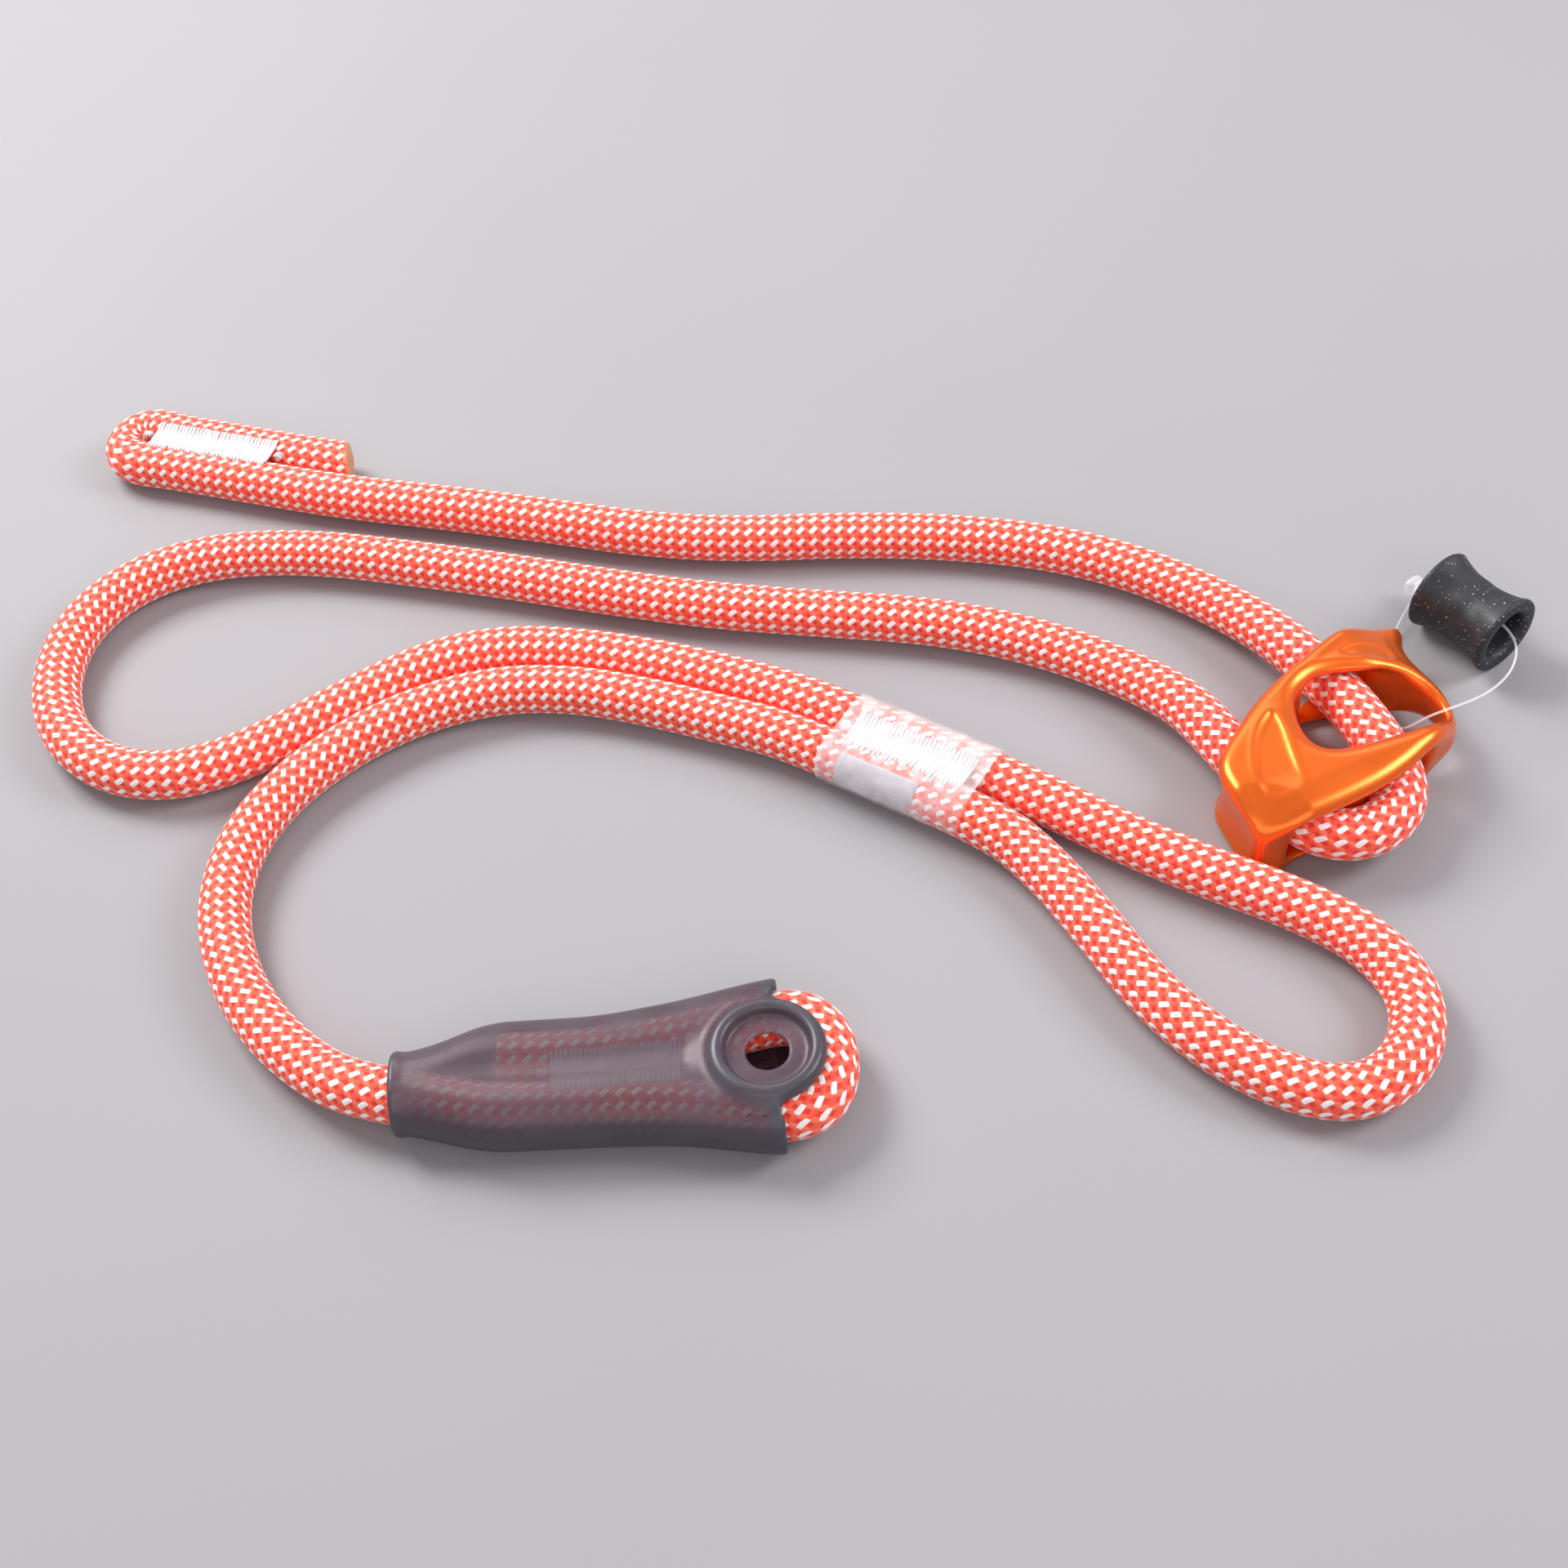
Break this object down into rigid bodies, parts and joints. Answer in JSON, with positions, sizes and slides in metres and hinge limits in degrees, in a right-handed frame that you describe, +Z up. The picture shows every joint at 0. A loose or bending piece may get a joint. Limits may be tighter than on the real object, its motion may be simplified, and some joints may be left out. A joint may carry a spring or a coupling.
{
  "type": "adjustable climbing lanyard",
  "caption": "Adjustable double climbing lanyard: red rope with a sewn harness eye, a fixed arm in a grip sleeve, and an arm that a forged adjuster shortens.",
  "frame": {"origin": "middle of the box that encloses the laid-out lanyard, on the surface that it lies on", "axes": "+X from the stopper end towards the adjuster, +Z up off the surface, the lanyard lies in the XY plane"},
  "size_m": [0.341, 0.2338, 0.019],
  "materials": {
    "rope_sheath": "braided polyamide sheath, coral red with white tracer yarns",
    "rope_core": "twisted white strands",
    "melted_end": "heat-sealed rope end",
    "thread": "white bar-tack thread",
    "clear_shrink": "clear gloss shrink tube",
    "label_slip": "blank white slip",
    "smoke_sleeve": "translucent smoky grey moulding",
    "orange_anodised": "orange anodised forging, satin gloss",
    "black_rubber": "charcoal black moulded rubber",
    "clear_nylon": "clear nylon line"
  },
  "bodies": {
    "lanyard": {"fixed_eye_sheath": "rope_sheath", "fixed_eye_core": "rope_core", "fixed_eye_return_sheath": "rope_sheath", "fixed_eye_return_core": "rope_core", "fixed_arm_sheath": "rope_sheath", "fixed_arm_core": "rope_core", "harness_eye_sheath": "rope_sheath", "harness_eye_core": "rope_core", "adjustable_arm_sheath": "rope_sheath", "adjustable_arm_core": "rope_core", "arm_lead_sheath": "rope_sheath", "arm_lead_core": "rope_core", "fixed_eye_end_seal": "melted_end", "fixed_eye_stitching": "thread", "harness_stitching": "thread", "shrink_sleeve": "clear_shrink", "id_label": "label_slip"},
    "grip": {"grip_sleeve": "smoke_sleeve"},
    "bight": {"adjuster_bight_sheath": "rope_sheath", "adjuster_bight_core": "rope_core"},
    "adjuster": {"adjuster_body": "orange_anodised"},
    "tail": {"tail_sheath": "rope_sheath", "tail_core": "rope_core", "stopper_sheath": "rope_sheath", "stopper_core": "rope_core", "tail_end_seal": "melted_end", "tail_stitching": "thread"},
    "tag": {"tag_loop": "clear_nylon", "tag_lock": "clear_nylon"},
    "retainer": {"connector_retainer": "black_rubber"}
  },
  "joints": [
    {"name": "grip_slide", "type": "slide", "parent": "lanyard", "child": "grip", "axis": [-1, 0, 0], "range_m": [0, 0.004], "deforming": ["fixed_arm_sheath", "fixed_arm_core"]},
    {"name": "adjuster_slide", "type": "slide", "parent": "lanyard", "child": "bight", "axis": [-0.3665, 0.9304, 0], "range_m": [0, 0.018], "deforming": ["arm_lead_sheath", "arm_lead_core"]},
    {"name": "adjuster_tilt", "type": "hinge", "parent": "bight", "child": "adjuster", "pos_m": [0.11656, -0.04038, 0.0092], "axis": [0, 0, 1], "range_deg": [-3, 3]},
    {"name": "tail_feed", "type": "slide", "parent": "bight", "child": "tail", "axis": [-0.3665, 0.9304, 0], "range_m": [0, 0.018]},
    {"name": "tag_swing", "type": "hinge", "parent": "adjuster", "child": "tag", "pos_m": [0.138, -0.01, 0.0095], "axis": [0, 0, 1], "range_deg": [-20, 8], "deforming": ["tag_loop"]},
    {"name": "retainer_spin", "type": "hinge", "parent": "tag", "child": "retainer", "pos_m": [0.157, 0.006, 0.0095], "axis": [0.5621, -0.8271, 0], "continuous": true}
  ],
  "couplings": [
    {"joint": "tail_feed", "follows": "adjuster_slide", "ratio": 1}
  ]
}
